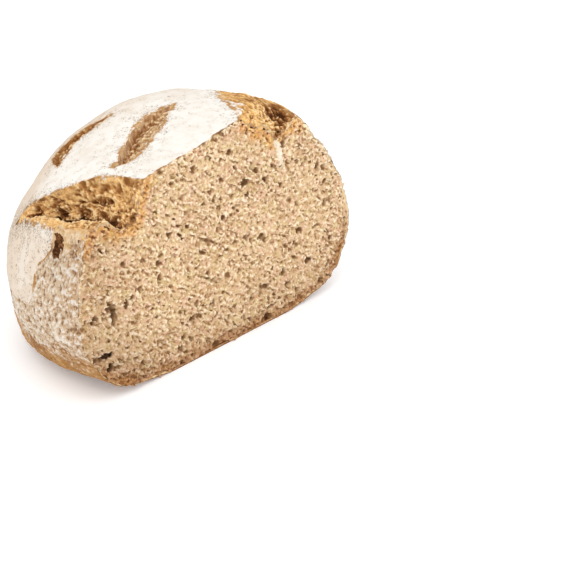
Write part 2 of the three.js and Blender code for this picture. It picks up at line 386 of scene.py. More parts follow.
class Bench:
    """Adds nodes to one tree and wires them."""

    def __init__(self, tree: NodeTree) -> None:
        """Keeps the tree."""
        self.tree = tree

    def plug(self, socket: NodeSocket, value: object) -> None:
        """Links a wire to a socket, or sets the socket's own value."""
        if isinstance(value, Wire):
            self.tree.links.new(value.socket, socket)
        elif value is not None:
            socket.default_value = value

    def node(self, kind: str, inputs: dict | None = None, **settings: object) -> Node:
        """Adds a node: its settings first, then its socket values and links.

        Args:
            kind: the node's type.
            inputs: values or wires by socket name or number.
            settings: properties of the node.

        Returns:
            The new node.
        """
        new = self.tree.nodes.new(kind)
        for name, value in settings.items():
            setattr(new, name, value)
        for key, value in (inputs or {}).items():
            self.plug(new.inputs[key], value)
        return new

    def wire(self, kind: str, inputs: dict | None = None, key: str | int = 0, **settings: object) -> Wire:
        """Adds a node as above and gives the wire of one of its outputs."""
        return Wire(self, self.node(kind, inputs, **settings).outputs[key])

    def math(self, operation: str, *values: object) -> Wire:
        """One step of arithmetic on numbers."""
        return self.wire("ShaderNodeMath", dict(enumerate(values)), operation=operation)

    def vector(self, operation: str, inputs: dict[str | int, object]) -> Wire:
        """One step of arithmetic on vectors."""
        return self.wire("ShaderNodeVectorMath", inputs, operation=operation)

    def split(self, vector: Wire) -> tuple[Wire, ...]:
        """The three numbers of a vector."""
        new = self.node("ShaderNodeSeparateXYZ", {0: vector})
        return tuple(Wire(self, socket) for socket in new.outputs)

    def join(self, *numbers: object) -> Wire:
        """A vector of three numbers."""
        return self.wire("ShaderNodeCombineXYZ", dict(enumerate(numbers)))

    def tilted(self, x: Wire, z: Wire) -> tuple[Wire, Wire]:
        """Places along and across the strands of the crumb."""
        cosine, sine = float(np.cos(STRAND_TILT)), float(np.sin(STRAND_TILT))
        return x * cosine + z * sine, z * cosine - x * sine

    def mix(self, factor: object, first: object, second: object, blend: str = "MIX") -> Wire:
        """Mix of two colours."""
        new = self.node("ShaderNodeMix", data_type="RGBA", blend_type=blend)
        given = {"Factor_Float": factor, "A_Color": first, "B_Color": second}
        for socket in new.inputs:
            self.plug(socket, given.get(socket.identifier))
        return Wire(self, next(s for s in new.outputs if s.identifier == "Result_Color"))

    def layers(self, under: object, *coats: tuple[Wire, object]) -> Wire:
        """Colours laid over one another, each with its share first."""
        for share, colour in coats:
            under = self.mix(share, under, colour)
        return under

    def grain(
        self, place: Wire, size: float, detail: float = 2.0, rough: float = 0.5, key: str = "Fac"
    ) -> Wire:
        """Noise from 0 to 1 with features of a size in the units of the place."""
        inputs = {"Vector": place, "Scale": 1.0 / size, "Detail": detail, "Roughness": rough}
        return self.wire("ShaderNodeTexNoise", inputs, key, noise_dimensions="3D")

    def cells(self, place: Wire, size: float) -> tuple[Wire, Wire]:
        """Distance to the middle of the nearest cell, and a number from 0 to 1 for that cell."""
        inputs = {"Vector": place, "Scale": 1.0 / size, "Randomness": 1.0}
        new = self.node("ShaderNodeTexVoronoi", inputs, feature="F1")
        return Wire(self, new.outputs["Distance"]) * size, self.split(Wire(self, new.outputs["Color"]))[0]


@dataclass(frozen=True)
class Finish:
    """What the two finishes share: a material that is one shader, with places in millimetres."""

    def start(self, name: str) -> tuple[Material, Bench, Wire]:
        """An empty material, a bench on its nodes and the place on the piece."""
        made = bpy.data.materials.new(name)
        made.use_nodes = True
        made.node_tree.nodes.clear()
        bench = Bench(made.node_tree)
        place = bench.wire("ShaderNodeTexCoord", key="Object")
        return made, bench, bench.vector("SCALE", {0: place, "Scale": 1.0 / MM})

    def stored(self, bench: Bench, *names: str) -> list[Wire]:
        """Numbers stored at the vertices of the piece."""
        return [bench.wire("ShaderNodeAttribute", key="Fac", attribute_name=name) for name in names]

    def end(self, bench: Bench, lumps: Wire, bump: tuple[float, float], inputs: dict[str, object]) -> None:
        """Ends the material in one shader with these inputs, and a bump of a strength and a height."""
        relief = {"Strength": bump[0], "Distance": bump[1], "Height": lumps}
        normal = bench.wire("ShaderNodeBump", relief)
        surface = bench.wire("ShaderNodeBsdfPrincipled", {**inputs, "Normal": normal})
        bench.node("ShaderNodeOutputMaterial", {"Surface": surface})


@dataclass
class LoafForm:
    """The loaf before it bursts: a section of the crust in each of eight directions."""

    axis_x: float = 115.0
    crown: float = 125.0
    knot_z: Row = (0, 7, 23, 43, 65, 86, 101)
    knot_step: float = 45.0
    reach: Row = (85, 98, 118, 119, 115, 106, 98, 88)
    out: tuple[Row, ...] = (
        (38, 72.5, 87, 90, 84.3, 71.8, 58.5),
        (50, 82, 95, 99, 97, 90, 82),
        (59, 98, 110, 115.5, 114.5, 105, 97.5),
        (66, 110.5, 118.5, 121, 118.8, 109, 95.8),
        (50, 87.5, 104, 114.7, 113.4, 110.2, 104),
        (42, 76, 98, 110, 106.5, 103, 96.7),
        (42, 72, 92, 98, 96, 88, 78),
        (41, 69, 83, 86, 82, 72, 60),
    )
    high: tuple[Row, ...] = (
        (108, 122.5), (118, 125.5), (120.5, 124.8), (114.5, 121),
        (114.3, 119.6), (113, 119), (111, 121), (106, 122),
    )
    swell: float = 0.7
    swell_size: float = 17.0
    mounds: tuple[Row, ...] = ((166, 20, 15, 17, 6.5), (163, 2, 9, 9, 3))
    halvings: int = 14
    even_steps: int = 600
    even_direction: float = 120.0

    def section(self, degrees: Array) -> Array:
        """Knots of the section in each direction: bottom edge, wall, shoulder, crown.

        Args:
            degrees: directions round the crown.

        Returns:
            An array of direction by knot by (distance out, height).
        """
        table = np.hstack([np.array(self.out), np.array(self.reach)[:, None], np.array(self.high)])
        turn = (degrees / self.knot_step) % len(table)
        first = np.floor(turn).astype(int)
        rows = [table[(first + offset) % len(table)] for offset in (-1, 0, 1, 2)]
        mixed = spline(*rows, (turn - first)[:, None])
        count = len(self.knot_z)
        knots = np.zeros((len(degrees), count + 3, 2))
        knots[:, :count, 0] = mixed[:, :count]
        knots[:, :count, 1] = np.array(self.knot_z)
        for step, share in enumerate((0.6, 0.3)):
            knots[:, count + step, 0] = share * mixed[:, count]
            knots[:, count + step, 1] = mixed[:, count + 1 + step]
        knots[:, count + 2, 1] = self.crown
        return knots

    def surface(self, degrees: Array, place: Array) -> Array:
        """Points of the crust.

        Args:
            degrees: directions round the crown.
            place: from 0 at the bottom edge to 1 at the crown.

        Returns:
            One row of three numbers for each pair.
        """
        knots = self.section(degrees)
        last = knots.shape[1] - 1
        before = np.stack([2 * knots[:, 0, 0] - knots[:, 1, 0], np.zeros(len(knots))], axis=1)
        after = np.stack([-knots[:, last - 1, 0], knots[:, last - 1, 1]], axis=1)
        padded = np.concatenate([before[:, None], knots, after[:, None]], axis=1)
        first = np.minimum((place * last).astype(int), last - 1)
        t = (place * last - first)[:, None]
        row = np.arange(len(place))
        out, height = spline(*(padded[row, first + step] for step in range(4)), t).T
        angle = np.radians(degrees)
        around = np.stack([np.cos(angle), np.sin(angle)], axis=1)
        points = np.column_stack([self.axis_x + out * around[:, 0], out * around[:, 1], height])
        calm = clamp01(place * 6) * clamp01((1 - place) * 9)
        push = self.swell * calm * noise(points / self.swell_size)
        upper = clamp01(place * 1.6 - 0.5)
        points[:, :2] += push[:, None] * around
        points[:, 2] += push * upper
        for x, y, spread_x, spread_y, rise in self.mounds:
            away = ((points[:, 0] - x) / spread_x) ** 2 + ((points[:, 1] - y) / spread_y) ** 2
            points[:, 2] += rise * np.exp(-away) * upper
        return points

    def crown_height(self, x: Number, y: Number) -> Array:
        """Height of the crust over plan points near the crown.

        Args:
            x: distances across the cut face.
            y: distances behind the cut.

        Returns:
            One height for each point.
        """
        across, behind = np.atleast_1d(x) - self.axis_x, np.atleast_1d(y)
        degrees, wanted = np.degrees(np.arctan2(behind, across)), np.hypot(across, behind)
        low, high = np.full(len(wanted), 0.5), np.ones(len(wanted))
        for _ in range(self.halvings):
            middle = (low + high) / 2
            points = self.surface(degrees, middle)
            outside = np.hypot(points[:, 0] - self.axis_x, points[:, 1]) > wanted
            low, high = np.where(outside, middle, low), np.where(outside, high, middle)
        return self.surface(degrees, (low + high) / 2)[:, 2]

    def places(self, rows: int) -> Array:
        """Places from 0 to 1 that stand evenly along a section."""
        fine = np.linspace(0, 1, self.even_steps)
        points = self.surface(np.full(self.even_steps, self.even_direction), fine)
        run = np.concatenate([[0], np.cumsum(np.linalg.norm(np.diff(points, axis=0), axis=1))])
        return np.interp(np.linspace(0, run[-1], rows), run, fine)


@dataclass
class Gash:
    """A burst or a slash: two lips, the depth between them and how rough its floor is."""

    kind: Torn
    lower: list[Row]
    upper: list[Row]
    depth: list[tuple[float, float]]
    outward: tuple[Place, Place]
    crag: float
    crag_size: float
    fade: float
    rows: int
    columns: int
    shred: float = 0.8
    fall: float = 1.35
    warmth: float = 0.8
    toast: float = 0.2
    depth_shade: float = 0.1
    hug: tuple[float, float] | None = None
    least: float = 0.0
    scorch: Row = (0.0, 0.0, 1.0, 0.0)
    singe: float = 0.0
    # Painted shadow: where across the floor a dark band lies, how wide it is and how dark.
    cavity_shade: Row = (0.5, 0.1, 0.0)
    pits: list[Row] = field(default_factory=list)
    lid: float = 11.0
    overrun: float = 0.12
    ragged: float = 0.035
    floor_share: float = 0.86
    lip_slope: float = 26.0
    tip: float = 0.02
    fall_limit: float = 1.45
    pit_shade: float = 1.3
    singe_width: float = 0.08

    def lip(self, points: list[Row], form: LoafForm) -> Curve:
        """A lip as a curve; points without a height lie on the crust."""
        placed = [p if len(p) == 3 else (*p, float(form.crown_height(*p)[0])) for p in points]
        return Curve(np.array(placed, dtype=float))

    def relief(self, points: Array) -> Array:
        """Height of the torn crumb over the plain floor of the gash, in millimetres."""
        warp = np.stack([fractal(points / 9.0 + shift, 3) for shift in (3.0, 17.0, 41.0)], axis=-1) * 3.0
        moved = (points + warp) / np.array([5.0, 6.5, 4.0])
        coarse = 0.6 * self.crag * crag_noise(points, self.crag_size)
        ledges = 1.0 - 2.0 * np.abs(fractal(moved, 3, 0.6)) ** 0.9
        crumbs = fractal(points / np.array([3.6, 4.6, 3.2]) + 7.0, 4, 0.62)
        return coarse + self.shred * (0.8 * ledges + 1.1 * crumbs)

    def depth_at(self, points: Array, share: Array, strength: Array) -> Array:
        """Depth of the plain floor: ragged at the lips, and below 0 beyond them."""
        ragged = self.ragged * noise(points / 4 + np.array([31.0, 0, 0]))
        cut = share + (ragged + 0.35 * self.ragged * noise(points / 1.5))
        depth = np.interp(cut, *np.array(self.depth).T)
        beyond = (cut <= 0) | (cut >= 1)
        depth = np.where(beyond, -self.lip_slope * np.maximum(-cut, cut - 1), depth)
        return depth * np.where((share > 0) & (share < 1), strength, 1.0)

    def pitted(self, points: Array, outward: Array) -> Array:
        """How much deeper the pits make the floor."""
        total = np.zeros(len(points))
        for *middle, radius, deep in self.pits:
            away = (points - np.array(middle)) / radius
            away = away - outward * dot(away, outward)[:, None]
            total += deep * np.exp(-dot(away, away))
        return total

    def cutter(self, form: LoafForm) -> Object:
        """Closed cutter: a craggy floor under a plain lid, pointed at both ends.

        Args:
            form: the crust that the lips lie on.

        Returns:
            The cutter, with its colouring and the height of its relief, less painted shade in pits, with
            depth and in the cavity band, stored at each vertex.
        """
        lower_lip, upper_lip = self.lip(self.lower, form), self.lip(self.upper, form)
        around = self.columns + max(6, self.columns // 5)
        ways = np.linspace(0, 1, self.rows + 1)[1:-1], np.linspace(0, 1, around, endpoint=False)
        v, u = (part.ravel() for part in np.meshgrid(*ways, indexing="ij"))
        along = clamp01((v - self.tip) / (1 - 2 * self.tip))
        lower, upper = lower_lip.at(along), upper_lip.at(along)
        start, end = (np.array(way) for way in self.outward)
        outward = unit(start + (end - start) * along[:, None])
        on_floor = u <= self.floor_share
        travel = np.where(on_floor, u / self.floor_share, (1 - u) / (1 - self.floor_share))
        share = -self.overrun + (1 + 2 * self.overrun) * travel
        points = lower + (upper - lower) * share[:, None]
        hugged = np.zeros(len(points))
        if self.hug:
            hugged = clamp01((along - self.hug[0]) / (self.hug[1] - self.hug[0]))
            crust = form.crown_height(points[:, 0], points[:, 1])
            points[:, 2] += hugged * np.maximum(0.0, crust - points[:, 2])
        fallen = np.maximum(0.0, (along - self.fade) / (1 - self.fade)) * self.fall
        fade = np.cos(np.minimum(fallen, self.fall_limit)) * np.minimum(1.0, (1 - along) * 10)
        depth = self.depth_at(points, share, fade * (1 - np.abs(2 * along - 1) ** 6))
        bell = np.sin(np.pi * clamp01(share)) ** 0.5
        tail = clamp01((1 - along) * 4 + 0.5 * noise(points / 7))
        depth = depth + self.least * bell * hugged * tail
        pitted = self.pitted(points, outward)
        bed = points + outward * np.where(on_floor, -depth - bell * pitted, self.lid)[:, None]
        sheet = bed.reshape(self.rows - 1, around, 3)
        facing = unit(np.cross(np.gradient(sheet, axis=0), np.gradient(sheet, axis=1))).reshape(-1, 3)
        facing *= np.sign(dot(facing, outward))[:, None]
        blend = (bell * on_floor)[:, None]
        facing = unit(outward * (1.001 - blend) + facing * blend)
        rough = self.relief(bed) * np.minimum(1.0, fade * 1.8 + 0.16 * hugged * tail)
        slip = 0.5 * self.shred * noise(bed / 2.2 + 50)
        points = bed + blend * (facing * rough[:, None] + unit(upper - lower) * slip[:, None])
        tips = (lower_lip.at(np.array([0.0, 1.0])) + upper_lip.at(np.array([0.0, 1.0]))) / 2
        grid, turned, quads = tube(self.rows - 1, around)
        first, last = grid.size, grid.size + 1
        fans = [[first, turned[0, k], grid[0, k]] for k in range(around)]
        fans += [[last, grid[-1, k], turned[-1, k]] for k in range(around)]
        thing = make_object(self.kind.value, np.vstack([points, tips]), quads + fans)
        face_outwards(thing)
        # Painted shadow: a dark band across the floor where the cavity lies in shade.
        where, width, strength = self.cavity_shade
        shade = strength * np.exp(-(((share - where) / width) ** 2)) * (0.7 + 0.5 * noise(bed / 6.0))
        shade = shade * ease(along, 0.1, 0.3) * ease(along, 0.9, 0.7)
        # The stored height is the relief with painted shade taken off it: in the pits, deeper down and in
        # the cavity band.
        relief_with_shade = bell * (rough - self.pit_shade * pitted) - self.depth_shade * np.maximum(depth, 0.0) - shade
        put_attribute(thing.data, "height", np.append(np.where(on_floor, relief_with_shade, 0.0), [0.0, 0.0]))
        put_attribute(thing.data, "warmth", np.full(len(points) + 2, self.warmth))
        toast = self.toasted(bed, share, hugged)
        put_attribute(thing.data, "toast", np.append(toast, [self.toast, self.toast]))
        return thing

    def toasted(self, bed: Array, share: Array, hugged: Array) -> Array:
        """How brown the oven made the floor: everywhere, where it is scorched, and at the upper lip."""
        x, y, spread, scorched = self.scorch
        away = ((bed[:, 0] - x) ** 2 + (bed[:, 1] - y) ** 2) / spread**2
        toast = self.toast + scorched * np.exp(-away) * (1.0 + 0.5 * noise(bed / 3.0)) + 0.25 * hugged
        at_lip = np.exp(-(((1 - share) / self.singe_width) ** 2))
        return toast + self.singe * at_lip * (0.7 + 1.2 * noise(bed / 3.5))


@dataclass
class Crust:
    """The floured skin with its bursts and slashes, hollowed behind the cut for the crumb."""

    form: LoafForm
    gashes: list[Gash]
    columns: int = 300
    rows: int = 172
    pocket_inset: float = 1.0
    pocket_depth: float = 6.0
    carried_reach: float = 2.5
    lip_reach: float = 9.0
    lip_samples: int = 60
    ring_reach: float = 0.05
    patch_heights: Row = (42.9, 46.1, 49.3, 55, 63.9, 71.9, 77, 84, 91.9)
    patch_starts: Row = (68.7, 51.8, 41.6, 37.3, 36.3, 35.7, 29, 23.5, 25.0)

    def skin_relief(self, points: Array) -> Array:
        """Fine lie of the skin in millimetres: broad dimples, and a rough band beside the cut."""
        rough = np.maximum(self.rough_band(points), 0.5 * ease(points[:, 2], 46, 24))
        soft = 0.3 * noise(points / 7.0) + 0.14 * noise(points / 2.6 + 5.0)
        return soft + rough * self.band_relief(points)

    def band_relief(self, points: Array) -> Array:
        """Lie of the rough crust beside the cut, in millimetres."""
        return 0.7 * noise(points / 8.0) + 0.8 * fractal(points / 2.8 + 13.0, 3, 0.7)

    def patch_edge(self, points: Array) -> Array:
        """How far behind the cut the floured wall begins, read off the photograph at the left."""
        left = np.interp(points[:, 2], self.patch_heights, self.patch_starts)
        right = 19.0 + 9.0 * noise(points / 16.0) + 4.0 * noise(points / 5.0)
        return np.where(points[:, 0] < self.form.axis_x, left, right)

    def rough_band(self, points: Array) -> Array:
        """Share of rough, thinly dusted crust between the patch and the cut."""
        _, y, z = points.T
        near = ease(self.patch_edge(points) - y + 1.5 * noise(points / 5.0), -0.6, 0.6)
        return near * ease(z + 6.0 * noise(points / 9.0), 12, 42) * ease(z, 104, 98)

    def flour(self, points: Array) -> Array:
        """Thickness of the flour on the skin from 0 to 1."""
        x, y, z = points.T
        wander = 5 * noise(points / 15.0) + 2.2 * noise(points / 4.5)
        behind = np.maximum(ease(y, 66, 90), ease(x, self.form.axis_x, self.form.axis_x + 30))
        low, full = 41 - 7 * behind, 47 + 12 * behind
        wall = clamp01((z + wander - low) / (full - low))
        wall = wall * ease(y + 1.5 * noise(points / 5.0) - self.patch_edge(points), -0.6, 0.8)
        chipped = ease(1.5 * noise(points / 2.4) - y, -1.5, 0.5)
        cap = ease(z, 98, 104) * (1.0 - 0.8 * chipped)
        return np.maximum(wall, cap)

    def dome(self) -> tuple[Object, Array, BVHTree]:
        """The half loaf before it is cut: a closed solid with a flat front in the plane of the cut.

        Returns:
            The object, the outline of its flat front as rows of x and z, and its skin without it.
        """
        degrees = 180 * (1 - (1 - np.linspace(0, 1, self.columns)) ** 1.3)
        count = self.rows - 1
        places = self.form.places(self.rows)[:-1]
        grid_d, grid_p = np.meshgrid(degrees, places, indexing="ij")
        points = self.form.surface(grid_d.ravel(), grid_p.ravel()).reshape(self.columns, count, 3)
        normal = unit(np.cross(np.gradient(points, axis=0), np.gradient(points, axis=1)))
        push = self.skin_relief(points.reshape(-1, 3)).reshape(points.shape[:2])
        push *= clamp01(grid_p * 12) * clamp01((1 - grid_p) * 40)
        points = points + normal * push[..., None]
        points[[0, -1], :, 1] = 0.0
        points[:, 0, 2] = 0.0
        crown, foot = self.columns * count, self.columns * count + 1
        extra = np.array([[self.form.axis_x, 0, self.form.crown], [self.form.axis_x, 0, 0]])
        index = np.arange(self.columns * count).reshape(self.columns, count)
        quads = np.stack([index[:-1, :-1], index[1:, :-1], index[1:, 1:], index[:-1, 1:]], axis=-1)
        skin = quads.reshape(-1, 4).tolist()
        skin += [[int(index[k, -1]), int(index[k + 1, -1]), crown] for k in range(self.columns - 1)]
        skin += [[int(index[k + 1, 0]), int(index[k, 0]), foot] for k in range(self.columns - 1)]
        front = [foot, *index[0].tolist(), crown, *index[-1][::-1].tolist()]
        everything = np.vstack([points.reshape(-1, 3), extra])
        thing = make_object("crust", everything, skin + [front])
        face_outwards(thing)
        outline = np.vstack([points[0], extra[:1], points[-1][::-1]])[:, [0, 2]]
        return thing, outline, BVHTree.FromPolygons(((everything - MIDDLE) * MM).tolist(), skin)

    def pocket(self, outline: Array) -> Object:
        """Closed cutter for the room that the crumb fills behind the cut."""
        middle = np.array([self.form.axis_x, 60.0])
        along = np.roll(outline, -1, axis=0) - np.roll(outline, 1, axis=0)
        inward = unit(np.column_stack([along[:, 1], -along[:, 0]]))
        inward *= np.sign(dot(inward, middle - outline))[:, None]
        deep = self.pocket_inset
        rings = []
        for y, inset in ((-3.0, -0.6), (0.0, -0.05), (1.5, deep), (self.pocket_depth, deep)):
            ring = (outline + inward * inset)[::3]
            rings.append(np.column_stack([ring[:, 0], np.full(len(ring), y), np.maximum(ring[:, 1], inset)]))
        grid, _, sides = tube(len(rings), len(rings[0]))
        thing = make_object("pocket", np.vstack(rings), sides + [grid[0, ::-1].tolist(), grid[-1].tolist()])
        face_outwards(thing)
        return thing

    def front_outline(self, crust: Object) -> Array:
        """Longest edge loop of the flat front once the gashes are cut, as rows of x and z."""
        points = mesh_points(crust.data)
        used: dict[tuple[int, int], bool] = {}
        for face in crust.data.polygons:
            corners = list(face.vertices)
            if all(abs(points[k, 1]) < 1e-3 for k in corners):
                used.update(((a, b), True) for a, b in zip(corners, corners[1:] + corners[:1]))
        ahead = {a: b for a, b in used if (b, a) not in used}
        loops: list[Array] = []
        while ahead:
            start, here = ahead.popitem()
            loop = [start]
            while here in ahead:
                loop.append(here)
                here = ahead.pop(here)
            loops.append(points[loop][:, [0, 2]])
        return max(loops, key=len)

    def build(self) -> tuple[Object, Array]:
        """Shapes the crust.

        Returns:
            The crust, and the outline of the cut face with its bursts, as rows of x and z.
        """
        crust, plain_outline, skin = self.dome()
        cutters = [gash.cutter(self.form) for gash in self.gashes]
        carve(crust, cutters)
        outline = self.front_outline(crust)
        pocket = self.pocket(plain_outline)
        deeper = [self.deepened(gash).cutter(self.form) for gash in self.gashes[:2]]
        carve(pocket, deeper)
        carve(crust, [pocket])
        self.mask(crust.data, skin, cutters)
        for helper in [*cutters, *deeper, pocket]:
            drop(helper)
        crust.data.shade_smooth()
        return crust, outline

    def deepened(self, gash: Gash) -> Gash:
        """The same gash a little deeper, so that crust is left under it where it meets the cut."""
        depth = [(share, deep + self.pocket_inset * 1.6) for share, deep in gash.depth]
        return replace(gash, depth=depth, rows=60, columns=40, shred=0.0)

    def mask(self, mesh: Mesh, skin: BVHTree, cutters: list[Object]) -> None:
        """Stores what the finish reads at each vertex.

        Args:
            mesh: the crust once it is cut.
            skin: the skin before it was cut.
            cutters: the gashes, which carry the colouring of their floors, painted shade included.
        """
        points = mesh_points(mesh)
        scaled = (points - MIDDLE) * MM
        depth = np.array([skin.find_nearest(Vector(place))[3] for place in scaled]) / MM
        names = ("height", "warmth", "toast")
        carried = {name: np.concatenate([get_attribute(c.data, name) for c in cutters]) for name in names}
        floor = np.concatenate([mesh_points(cutter.data) for cutter in cutters])
        tree = KDTree(len(floor))
        for index, place in enumerate((floor - MIDDLE) * MM):
            tree.insert(Vector(place), index)
        tree.balance()
        found = {name: np.zeros(len(points)) for name in names}
        for index in np.nonzero(depth > TORN_DEPTH)[0]:
            _, nearest, away = tree.find(Vector(scaled[index]))
            if away < self.carried_reach * MM:
                for name in names:
                    found[name][index] = carried[name][nearest]
        # The skin's relief is kept too, so that the finish paints shade into its low places.
        found["height"] += np.where(depth <= TORN_DEPTH, self.band_relief(points), 0.0)
        ring = (points[:, 1] < self.ring_reach) & (depth > TORN_DEPTH)
        low = ease(points[:, 2], 30, 8)
        found["toast"] = np.where(ring, low * (0.7 + 1.2 * noise(points / 2.2)), found["toast"])
        found["warmth"] = np.where(ring, low, found["warmth"])
        found["deep"] = depth
        found["flour"] = self.flour(points)
        found["rough"] = self.rough_band(points)
        found["lip"] = self.lip_nearness(points)
        # Hollowness, from which the finish paints shade into hollows and highlight onto crests.
        found["hollow"] = hollowness(mesh)
        for name, values in found.items():
            put_attribute(mesh, name, values)

    def lip_nearness(self, points: Array) -> Array:
        """From 1 on the lips of the gashes to 0 some way off."""
        share = np.linspace(0, 1, self.lip_samples)
        sides = [(gash, side) for gash in self.gashes for side in (gash.lower, gash.upper)]
        best = np.full(len(points), FAR_AWAY)
        for lip in np.vstack([gash.lip(side, self.form).at(share) for gash, side in sides]):
            best = np.minimum(best, dot(points - lip, points - lip))
        return np.exp(-np.sqrt(best) / self.lip_reach)


@dataclass
class Crumb:
    """The sponge that the knife has opened, with its pores and larger holes."""

    outline: Array
    holes: tuple[Row, ...] = (
        (18.1, 27.6, 5.5, 2.0, -8, 4), (20.4, 19.7, 2.6, 1.9, 0, 4.5), (38.8, 19.1, 2.4, 1.6, 0, 2.6),
        (30.6, 12.6, 4.4, 0.9, -21, 2), (24.8, 48.2, 2.2, 5.8, 0, 3.0), (33.3, 51.1, 1.7, 3.4, -8, 3.2),
        (18, 49.8, 1.3, 2, 0, 2), (38.3, 53.7, 1.9, 1.6, 0, 2.4), (4.7, 51.7, 1.2, 1.6, 0, 1.5),
        (178.7, 43.9, 4.4, 1.2, -12, 2.4), (172.1, 25.4, 2.6, 2, 0, 2.4), (154.7, 17.2, 2.4, 1.6, 20, 2.2),
        (140.7, 9, 3, 1.5, 12, 2), (134.7, 52.8, 3, 1.9, -20, 2.8), (94.9, 42.1, 8.6, 1.2, -34, 2),
        (92.5, 65.6, 8, 1.2, -31, 2.2), (87.9, 60.9, 3.6, 1.3, -33, 2), (80.8, 25.1, 3.2, 1.7, 20, 2.3),
        (121.9, 88.6, 3.5, 2.3, -18, 2.6), (137.4, 85.2, 2, 2.3, 0, 2.4), (185.2, 68.8, 2, 1.7, 0, 2),
        (178.4, 80.5, 1.8, 3.4, -8, 2.2),
    )
    pore_sizes: tuple[Row, ...] = ((8.5, -1.9, 4.6), (4.4, -0.65, 2.7), (2.6, -0.3, 1.35))
    voxel: float = 0.76
    front: float = -0.5
    back: float = 5.2
    inset: float = -0.45
    margin: float = 1.5
    chain_step: float = 0.8
    chain_row: float = 1.0
    hole_growth: float = 1.12

    def hole_chains(self) -> Object:
        """Rows of points along each larger hole, with the hole's half thickness stored at each."""
        places, sizes = [], []
        for x, z, half_x, half_z, tilt, deep in self.holes:
            long, short = max(half_x, half_z), min(half_x, half_z)
            turn = np.radians(tilt + (90 if half_z > half_x else 0))
            count = max(1, int(round(2 * (long - short) / self.chain_step)) + 1)
            steps = np.linspace(-(long - short), long - short, count) if count > 1 else (0.0,)
            for y in np.arange(0.6, max(0.7, deep - short), self.chain_row):
                for step in steps:
                    places.append((x + step * np.cos(turn), y, z + step * np.sin(turn)))
                    sizes.append(self.hole_growth * short * (1.0 - 0.35 * abs(step) / max(long, 0.1)))
        chain = new_mesh("hole chains", places, [])
        put_attribute(chain, "reach", np.array(sizes))
        return link("hole chains", chain)

    def sponge_tree(self) -> NodeTree:
        """Geometry nodes: a block of sponge inside the outline, as a volume turned into a mesh.

        Returns:
            The tree. Its first input is the outline as one flat face.
        """
        tree = bpy.data.node_groups.new("crumb sponge", "GeometryNodeTree")
        kinds = {
            "Outline": "Geometry", "Hole Chains": "Object", "Voxel": "Float", "Inset": "Float",
            "Front": "Float", "Back": "Float", "Crumb Finish": "Material",
        }
        for name, kind in kinds.items():
            tree.interface.new_socket(name, in_out="INPUT", socket_type="NodeSocket" + kind)
        tree.interface.new_socket("Sponge", in_out="OUTPUT", socket_type="NodeSocketGeometry")
        bench = Bench(tree)
        given = bench.node("NodeGroupInput")
        wire = {name: Wire(bench, given.outputs[name]) for name in kinds}
        place = bench.wire("GeometryNodeInputPosition")
        y, z = bench.split(place)[1:]
        rim = self.rim(bench, wire, place)
        bend = bench.vector("SUBTRACT", {0: bench.grain(place, 2.4, 2.0, 0.5, "Color"), 1: (0.5, 0.5, 0.5)})
        warped = bench.vector("ADD", {0: place, 1: bench.vector("SCALE", {0: bend, "Scale": 4.4})})
        wx, wy, wz = bench.split(warped)
        run, cross = bench.tilted(wx, wz)
        deep = bench.join(run * 0.74, wy * 0.5, cross)
        strand = bench.join(run * 0.3, wy * 0.6, cross)
        shrink = (y - 0.9).most(0.0) * 0.75
        density = None
        for size, least, spread in self.pore_sizes:
            distance, chance = bench.cells(deep, size)
            pore = distance - (chance * spread + least) + shrink
            density = pore if density is None else density.melt(pore, 0.35)
        density = density.melt(self.hole_distance(bench, wire["Hole Chains"], warped), 0.3)
        torn = (bench.grain(place, 4.2, 3.0, 0.65) - 0.5) * 4.6
        torn = torn + (bench.grain(strand, 1.7, 3.0, 0.65) - 0.5) * 7.0
        torn = torn + (bench.grain(deep, 1.5, 1.0) - 0.5) * 3.0
        density = density.melt(y - wire["Front"] - 0.5 + torn, 0.3)
        density = density.least(wire["Back"] - y).least(rim).least(z)
        density = density.most(-self.margin).least(self.margin) + self.margin
        low = bench.join(-1.5, wire["Front"] - 1.5, -0.5)
        high = bench.join(207.0, wire["Back"] + 1.0, 127.0)
        cube = {"Density": density, "Background": 0.0, "Min": low, "Max": high}
        for axis, span in zip("XYZ", (208.5, wire["Back"] - wire["Front"] + 2.5, 127.5)):
            cube["Resolution " + axis] = bench.math("ROUND", bench.math("DIVIDE", span, wire["Voxel"]))
        volume = bench.wire("GeometryNodeVolumeCube", cube)
        skin = {"Volume": volume, "Threshold": self.margin, "Adaptivity": 0.16}
        smooth = bench.wire("GeometryNodeSetShadeSmooth", {0: bench.wire("GeometryNodeVolumeToMesh", skin)})
        whole = bench.wire("GeometryNodeRealizeInstances", {0: smooth})
        dressed = bench.wire("GeometryNodeSetMaterial", {0: whole, "Material": wire["Crumb Finish"]})
        bench.node("NodeGroupOutput", {0: dressed})
        return tree

    def near(self, bench: Bench, target: Wire, place: Wire, element: str) -> Wire:
        """Distance from a place to the nearest point, edge or face of a shape."""
        inputs = {0: target, "Sample Position": place}
        return bench.wire("GeometryNodeProximity", inputs, "Distance", target_element=element)

    def rim(self, bench: Bench, wire: dict[str, Wire], place: Wire) -> Wire:
        """How far a place lies inside the ragged edge of the cut face."""
        x, y, z = bench.split(place)
        flat = bench.join(x, None, z)
        edge = self.near(bench, wire["Outline"], flat, "EDGES")
        outside = bench.math("GREATER_THAN", self.near(bench, wire["Outline"], flat, "FACES"), 0.3)
        inside = edge * (1.0 - outside * 2.0)
        burst = z.step(86.0, 97.0) * x.step(60.0, 46.0) + z.step(98.0, 107.0) * x.step(112.0, 122.0)
        foot = z.step(9.0, 3.0)
        calm = x.step(120.0, 165.0) * (1.0 - foot)
        taper = (y.most(0.0) * 1.3).least(1.3)
        ragged = (bench.grain(place, 2.4, 2.0) - 0.5) * (burst * 1.5 + foot + 2.6 - calm * 1.7)
        return inside - wire["Inset"] - calm * 0.55 - taper + ragged

